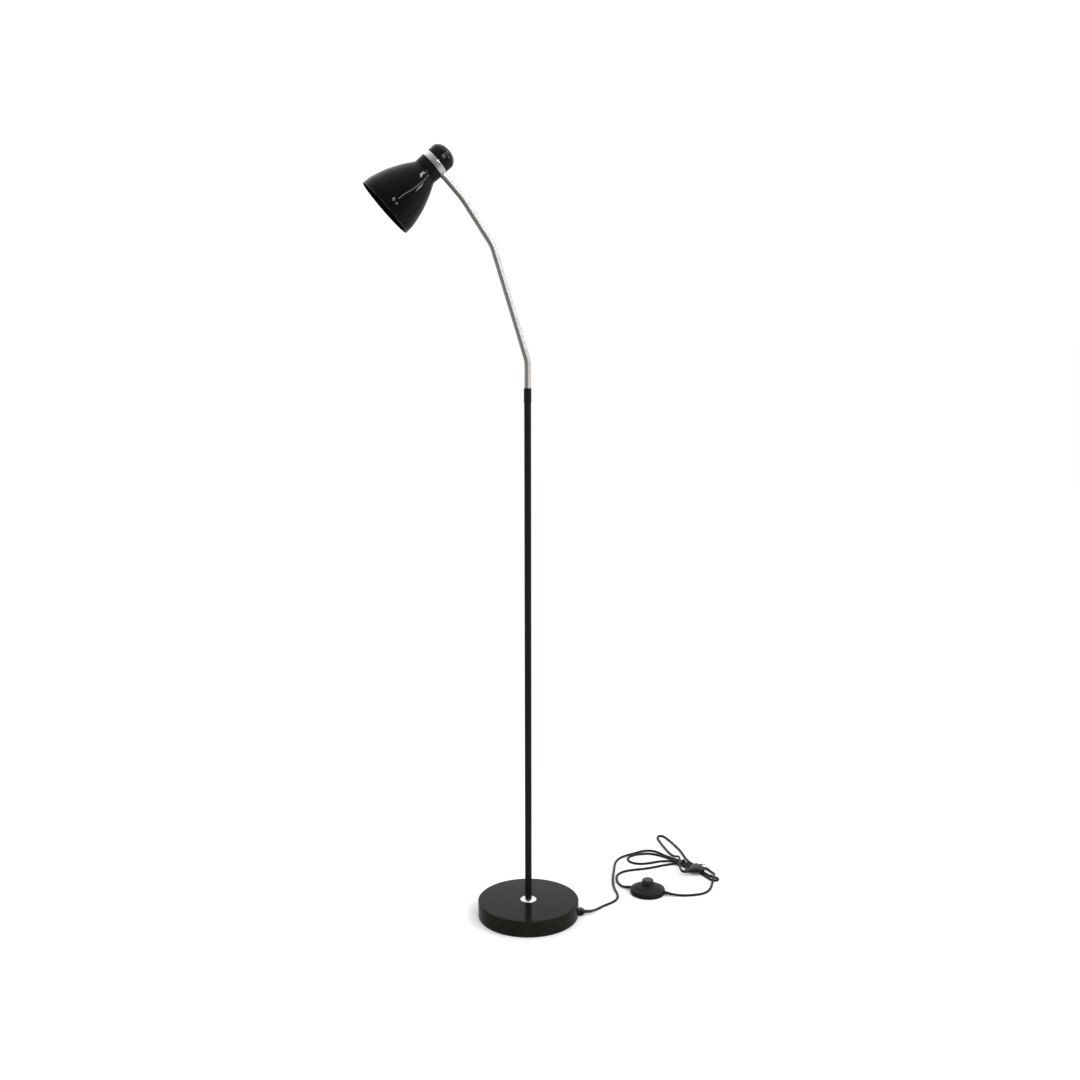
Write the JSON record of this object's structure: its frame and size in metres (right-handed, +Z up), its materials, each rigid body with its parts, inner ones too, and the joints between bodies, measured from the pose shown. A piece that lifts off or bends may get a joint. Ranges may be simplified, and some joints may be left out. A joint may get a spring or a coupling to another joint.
{
  "type": "gooseneck reading floor lamp",
  "caption": "Floor reading lamp: round stone foot, slim black pole, bendable gooseneck, black bell shade, floor cord with foot switch and plug.",
  "frame": {"origin": "centre of the foot's underside, on the floor", "axes": "+Z up along the pole; neck and head lean towards -X; the cord lies on the floor towards +X and +Y"},
  "size_m": [0.6872, 0.4253, 1.4127],
  "materials": {
    "base_stone": "polished",
    "felt": "matte",
    "chrome_plate": "polished",
    "zinc_steel": "satin",
    "black_plastic": "satin",
    "black_metal": "gloss",
    "brass_parts": "satin",
    "bulb_glass": "satin",
    "bulb_cap": "satin",
    "switch_plastic": "satin",
    "switch_button": "matte",
    "module_plastic": "matte",
    "cord_sheath": "satin",
    "tie_plastic": "satin",
    "plug_plastic": "satin",
    "pin_metal": "polished",
    "neck_chrome": "satin"
  },
  "bodies": {
    "stand": {"base_disc": "base_stone", "base_felt_pad": "felt", "base_nut": "zinc_steel", "base_rosette": "chrome_plate", "base_threaded_rod": "zinc_steel", "base_washer": "zinc_steel", "cable_tie": "tie_plastic", "cord_from_base": "cord_sheath", "cord_from_switch": "cord_sheath", "cord_hank": "cord_sheath", "cord_outlet": "black_plastic", "cord_plug_loop": "cord_sheath", "cord_to_switch": "cord_sheath", "neck_section_1": "neck_chrome", "plug_body": "plug_plastic", "plug_pin_sleeves": "plug_plastic", "plug_pin_tips": "pin_metal", "pole": "black_metal", "pole_foot_insert": "zinc_steel", "pole_top_sleeve": "black_metal", "switch_lower_housing": "switch_plastic", "switch_module": "module_plastic", "switch_screws": "zinc_steel", "switch_spring": "zinc_steel", "switch_upper_housing": "switch_plastic"},
    "neck_a": {"neck_section_2": "neck_chrome"},
    "neck_b": {"neck_section_3": "neck_chrome"},
    "neck_c": {"neck_section_4": "neck_chrome"},
    "neck_d": {"neck_section_5": "neck_chrome"},
    "neck_e": {"neck_section_6": "neck_chrome"},
    "head": {"neck_section_7": "neck_chrome", "neck_ferrule": "chrome_plate", "neck_nipple": "zinc_steel", "neck_locknut": "zinc_steel", "chrome_band": "chrome_plate", "shade": "black_metal", "shade_collar": "black_metal", "shade_ring_nut": "black_plastic", "cap": "black_metal", "holder_bracket": "zinc_steel", "bracket_screws": "zinc_steel", "holder_nipple": "zinc_steel", "holder_nut": "zinc_steel", "lamp_holder": "black_plastic", "holder_sleeve": "brass_parts", "holder_contact": "brass_parts", "bulb_glass": "bulb_glass", "bulb_cap": "bulb_cap"},
    "button": {"switch_button": "switch_button"}
  },
  "joints": [
    {"name": "neck_bend_1", "type": "hinge", "parent": "stand", "child": "neck_a", "pos_m": [0, 0, 1.029], "axis": [0, 1, 0], "range_deg": [-30, 30]},
    {"name": "neck_bend_2", "type": "hinge", "parent": "neck_a", "child": "neck_b", "pos_m": [-0.0139, 0, 1.09002], "axis": [0.9563, 0, 0.2924], "range_deg": [-30, 30]},
    {"name": "neck_bend_3", "type": "hinge", "parent": "neck_b", "child": "neck_c", "pos_m": [-0.03232, 0, 1.15027], "axis": [0, 1, 0], "range_deg": [-30, 30]},
    {"name": "neck_bend_4", "type": "hinge", "parent": "neck_c", "child": "neck_d", "pos_m": [-0.05074, 0, 1.21051], "axis": [0.9563, 0, 0.2924], "range_deg": [-30, 30]},
    {"name": "neck_bend_5", "type": "hinge", "parent": "neck_d", "child": "neck_e", "pos_m": [-0.07296, 0, 1.26258], "axis": [0, 1, 0], "range_deg": [-30, 30]},
    {"name": "neck_bend_6", "type": "hinge", "parent": "neck_e", "child": "head", "pos_m": [-0.10019, 0, 1.30451], "axis": [0.8387, 0, 0.5446], "range_deg": [-30, 30]},
    {"name": "button_press", "type": "slide", "parent": "stand", "child": "button", "axis": [0, 0, -1], "range_m": [0, 0.003], "stiffness_N_per_m": 900, "springref_m": -0.0022, "deforming": ["switch_spring"]}
  ]
}
